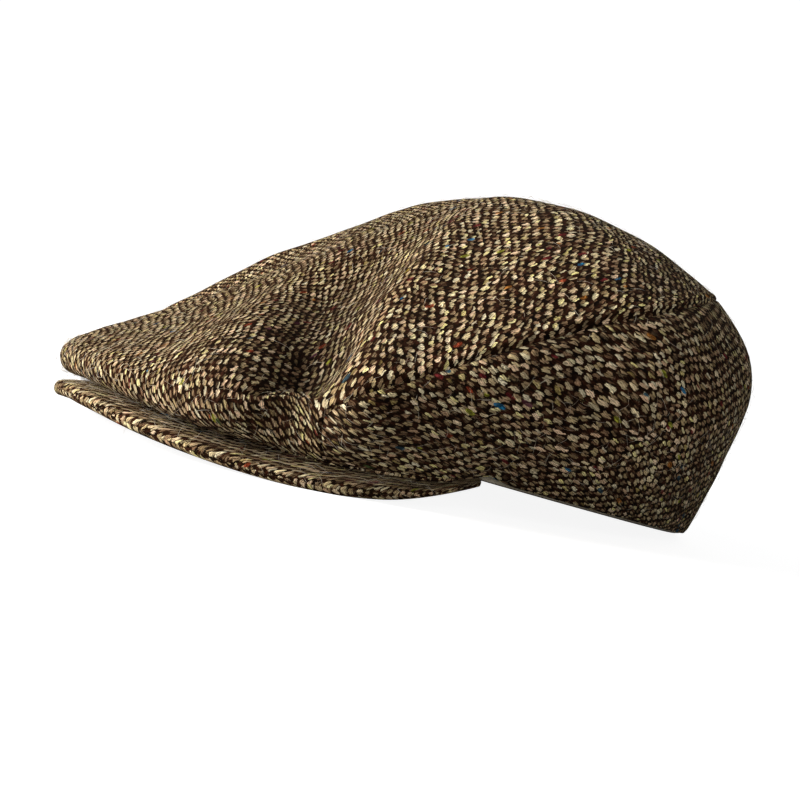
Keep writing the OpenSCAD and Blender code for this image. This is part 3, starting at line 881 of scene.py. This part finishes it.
def bands():
    tape = hem_band("headband_tape", full_turn(240), TAPE_IN, TAPE_T, HEM_TURN, TAPE_H, TAPE, ring=True)
    sweat = hem_band("sweatband", full_turn(360), BAND_IN, BAND_T, HEM_TURN, HEM_TURN + BAND_H, LEATHER,
                     ring=True, rows=28, roll=0.12)
    around = np.linspace(-176, 176, 700)
    stitches(sweat, band(around, BAND_IN + BAND_T + 0.1, HEM_TURN + 2.6))
    stitches(sweat, band(around, BAND_IN + BAND_T + 0.1, HEM_TURN + BAND_H - 2.6))
    tab = hem_band("sweatband_back_tab", np.linspace(176, 184, 24)[None], TAB_IN, TAB_T, HEM_TURN + 1,
                   BAND_H - 1, LEATHER, rows=20)
    for u in (177, 183):
        stitches(tab, np.stack([band(np.array(float(u)), TAB_IN + TAB_T + 0.08, h)
                                for h in np.linspace(4, BAND_H - 3, 60)]))
    size = hem_band("size_label", np.linspace(150, 162, 30)[None], TAB_IN, LABEL_T, BAND_H - 16, BAND_H - 2,
                    LABEL, rows=16)
    stitches(size, band(np.linspace(151, 161, 60), TAB_IN + LABEL_T + 0.06, BAND_H - 3.2), 1.8, 0.9, 0.14)
    return tape, sweat, tab, size


def maker_label():
    x, y = np.meshgrid(np.linspace(-30, 30, 49), np.linspace(-18, 18, 31))
    low = life_at(x, y)
    outer = points(x, y, dome_h(x, -y, LABEL_IN) + low)
    inner = points(x, y, dome_h(x, -y, LABEL_IN + LABEL_T) + low)
    piece = slab("maker_label", outer, inner, points(x, y, 0.0), material=LABEL)
    # The thread runs along one long side and back along the other
    along = np.linspace(-28.5, 28.5, 120)
    x, y = np.concatenate([along, along[::-1]]), np.repeat([16.5, -16.5], 120)
    height = dome_h(x, -y, LABEL_IN + LABEL_T + 0.08) + life_at(x, y)
    stitches(piece, points(x, y, height), 1.8, 0.9, 0.14)
    return piece


def life_at(x, y):
    """Rise of the folds over a point near the middle of the crown."""
    aside = x / CROWN_W
    ahead = (-y - CROWN_MID) / np.where(-y > CROWN_MID, CROWN_FRONT, CROWN_BACK)
    u, rho = np.degrees(np.arctan2(aside, ahead)), np.hypot(aside, ahead)
    return life(np.arcsin(np.minimum(rho, 1)) * 2 / np.pi, u)


# ---------------------------------------------------------------- the peak
def cover(name, side, material):
    """The top or the under cover of the peak; side is 1 or -1."""
    flat = np.linspace(PEAK_FROM, BOARD_TO, 34)
    edge = BOARD_TO + (1 - BOARD_TO) * np.sin(np.linspace(0, np.pi / 2, 14))[1:]
    k = np.concatenate([flat, edge])[:, None]
    u = np.linspace(-COVER_END, COVER_END, 190)[None]
    over = np.clip((k - BOARD_TO) / (1 - BOARD_TO), 0, 1)
    face = COVER_EDGE + (COVER_OUT - COVER_EDGE) * np.sqrt(np.maximum(1 - over ** 2.2, 0))
    back = mix(COVER_IN, 0.05, np.minimum(1, 2 * over))
    face = np.maximum(face, back + 0.06)
    k, u = np.broadcast_arrays(k, u)
    ripple = 0.1 * np.sin(u / 3.1 + 2 * np.sin(u / 11)) * bell(k - 0.9, 0.12) * thinning(u)
    outer = peak(k, u, side * (thinning(u) * face + ripple * (over < 0.99)))
    inner = peak(k, u, side * thinning(u) * back)
    rim = peak(1, u[0], 0)
    run = np.concatenate([[0], np.cumsum(np.linalg.norm(np.diff(rim, axis=0), axis=-1))])
    cloth = grain(run[None] * mix(0.72, 1.0, k), lengths(outer), 105, 12.0 + side)
    return slab(name, outer, inner, cloth, material=material, wear_and_shade=0.9 * bell(k - 1, 0.05))


def peak_pieces():
    top = cover("peak_top_cover", 1, TWEED)
    under = cover("peak_under_cover", -1, UNDER_TWEED_SHADED)
    k = np.linspace(0.04, BOARD_TO, 30)[:, None]
    u = np.linspace(-BOARD_END, BOARD_END, 100)[None]
    k, u = np.broadcast_arrays(k, u)
    board = slab("peak_board", peak(k, u, BOARD_T / 2), peak(k, u, -BOARD_T / 2),
                 points(1.6 * u, k * PEAK_L, 0.0), material=BOARD)

    def upper(r, a):
        over = np.clip((r - BOARD_TO) / (1 - BOARD_TO), 0, 0.95)
        return peak(r, a, COVER_OUT * thinning(a) * np.sqrt(1 - over ** 2))

    add_fibres(top, upper, (LIP_AT, 0.99), (-60, 60), 230)
    return top, under, board


# ---------------------------------------------------------------- riding, and bend weights that are not kept
def bend_weights(piece, weight):
    """Bakes the piece's transform and computes weight(x, y, z) in metres, 1 on the peak; the weights are
    not kept, so the piece does not bend.
    """
    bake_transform(piece)
    co = np.empty(3 * len(piece.data.vertices))
    piece.data.vertices.foreach_get("co", co)
    x, y, z = co.reshape(-1, 3).T
    weight(x, y, z).astype(np.float32)


def hem_follow(x, y, z):
    return smooth((HINGE_Y - y) / 0.022)


def lining_follow(x, y, z):
    return hem_follow(x, y, z) * smooth((0.052 - z) / 0.026)


def facing_follow(x, y, z):
    """1 at the hem of the head opening, 0 at the lip."""
    out = np.hypot(x / (HEAD_W * MM), (y - HEAD_Y) / (HEAD_L * MM)) - 1
    u = np.degrees(np.arctan2(x * HEAD_L, (HEAD_Y - y) * HEAD_W))
    share = np.clip(np.abs(u) / PEAK_END, 0, 0.97)
    reach = LIP_AT * PEAK_L / HEAD_L * (1 - share ** LENGTH_POWER)
    return 1 - smooth(out / np.maximum(reach, 0.02))


HEAD_Y = float(place(np.zeros(3))[1])

made = {}
for piece in (top_panel(), side_panel(1), side_panel(-1), facing(), interlining(), *lining_pieces(),
              *bands(), maker_label(), *peak_pieces()):
    node = piece.name.removeprefix("cap_")
    made[node] = piece
    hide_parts(node)

for name in ("top_panel", "left_side_panel", "right_side_panel", "front_interlining", "lining_top",
             "sweatband_back_tab", "size_label", "maker_label"):
    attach(made[name], "crown")
for name in ("peak_top_cover", "peak_under_cover", "peak_board"):
    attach(made[name], "peak")
for name in ("headband_tape", "sweatband"):
    bend_weights(made[name], hem_follow)
for name in ("lining_left", "lining_right"):
    bend_weights(made[name], lining_follow)
bend_weights(made["crown_under_facing"], facing_follow)

for name in ("snap_socket", "snap_stud"):
    mesh = frame["nodes"][name].data
    mesh.materials.clear()
    mesh.materials.append(METAL)


# ---------------------------------------------------------------- camera, floor and light
def aim(place_at, back):
    """Turns an object so that it looks against the direction back."""
    place_at.rotation_euler = Vector(back).to_track_quat("Z", "Y").to_euler()


def add_camera():
    azimuth, elevation, roll = math.radians(57.97), math.radians(0.5), math.radians(15.45)
    distance, target = 506.6, np.array([0.0, -27.07, 16.63])
    back = np.array([math.sin(azimuth) * math.cos(elevation), -math.cos(azimuth) * math.cos(elevation),
                     math.sin(elevation)])
    right = np.array([math.cos(azimuth), math.sin(azimuth), 0.0])
    up = np.cross(back, right)
    x = right * math.cos(roll) + up * math.sin(roll)
    y = up * math.cos(roll) - right * math.sin(roll)
    camera = bpy.data.objects.new("camera", bpy.data.cameras.new("camera"))
    bpy.context.scene.collection.objects.link(camera)
    camera.data.lens = 60.6
    axes = Matrix([leant(a).tolist() for a in (x, y, back)]).transposed()
    camera.matrix_world = Matrix.Translation(place(target + distance * back)) @ axes.to_4x4()
    camera.data.clip_start = 0.02
    bpy.context.scene.camera = camera


def add_light(name, azimuth, elevation, distance, size, power, colour=(1, 1, 1)):
    a, e = math.radians(azimuth), math.radians(elevation)
    back = Vector((math.sin(a) * math.cos(e), -math.cos(a) * math.cos(e), math.sin(e)))
    light = bpy.data.objects.new(name, bpy.data.lights.new(name, "AREA"))
    light.data.energy, light.data.size, light.data.color = power, size, colour
    light.location = back * distance + Vector((0, 0, 0.05))
    aim(light, back)
    bpy.context.scene.collection.objects.link(light)


def add_floor():
    bpy.ops.mesh.primitive_circle_add(vertices=96, radius=6, fill_type="NGON")
    floor = bpy.context.object
    floor.name = "floor"
    s = Shader("floor_paper", Roughness=0.9, Specular_IOR_Level=0.1)
    s.surface.inputs["Base Color"].default_value = (0.42, 0.42, 0.42, 1)
    at = s.vector("MULTIPLY", s.node("ShaderNodeTexCoord").outputs["Object"], (1, 1, 0))
    far = s.node("ShaderNodeVectorMath", {0: at}, operation="LENGTH").outputs["Value"]
    haze = s.node("ShaderNodeMapRange", {0: far, 1: 0.15, 2: 0.6, 3: 0.90, 4: 1.05}).outputs[0]
    seen = s.node("ShaderNodeLightPath").outputs["Is Camera Ray"]
    s.surface.inputs["Emission Color"].default_value = (1, 1, 1, 1)
    s.put(s.surface.inputs["Emission Strength"], s.math("MULTIPLY", haze, seen))
    floor.data.materials.append(s.material)


def add_world():
    world = bpy.data.worlds.new("studio")
    bpy.context.scene.world = world
    world.use_nodes = True
    tree = world.node_tree
    dim = tree.nodes["Background"]
    dim.inputs[0].default_value, dim.inputs[1].default_value = (1, 1, 1, 1), 0.06
    white = tree.nodes.new("ShaderNodeBackground")
    white.inputs[0].default_value, white.inputs[1].default_value = (1, 1, 1, 1), 1.05
    choose, path = tree.nodes.new("ShaderNodeMixShader"), tree.nodes.new("ShaderNodeLightPath")
    tree.links.new(path.outputs["Is Camera Ray"], choose.inputs[0])
    tree.links.new(dim.outputs[0], choose.inputs[1])
    tree.links.new(white.outputs[0], choose.inputs[2])
    tree.links.new(choose.outputs[0], tree.nodes["World Output"].inputs[0])


add_camera()
add_floor()
add_world()
add_light("key", -4, 17, 1.2, 0.4, 24, (1.0, 0.965, 0.92))
add_light("fill", 72, 14, 1.6, 1.0, 7.5)
add_light("top", 200, 60, 1.4, 1.0, 2.5, (0.94, 0.97, 1.0))
bpy.context.scene.view_settings.view_transform = "Standard"
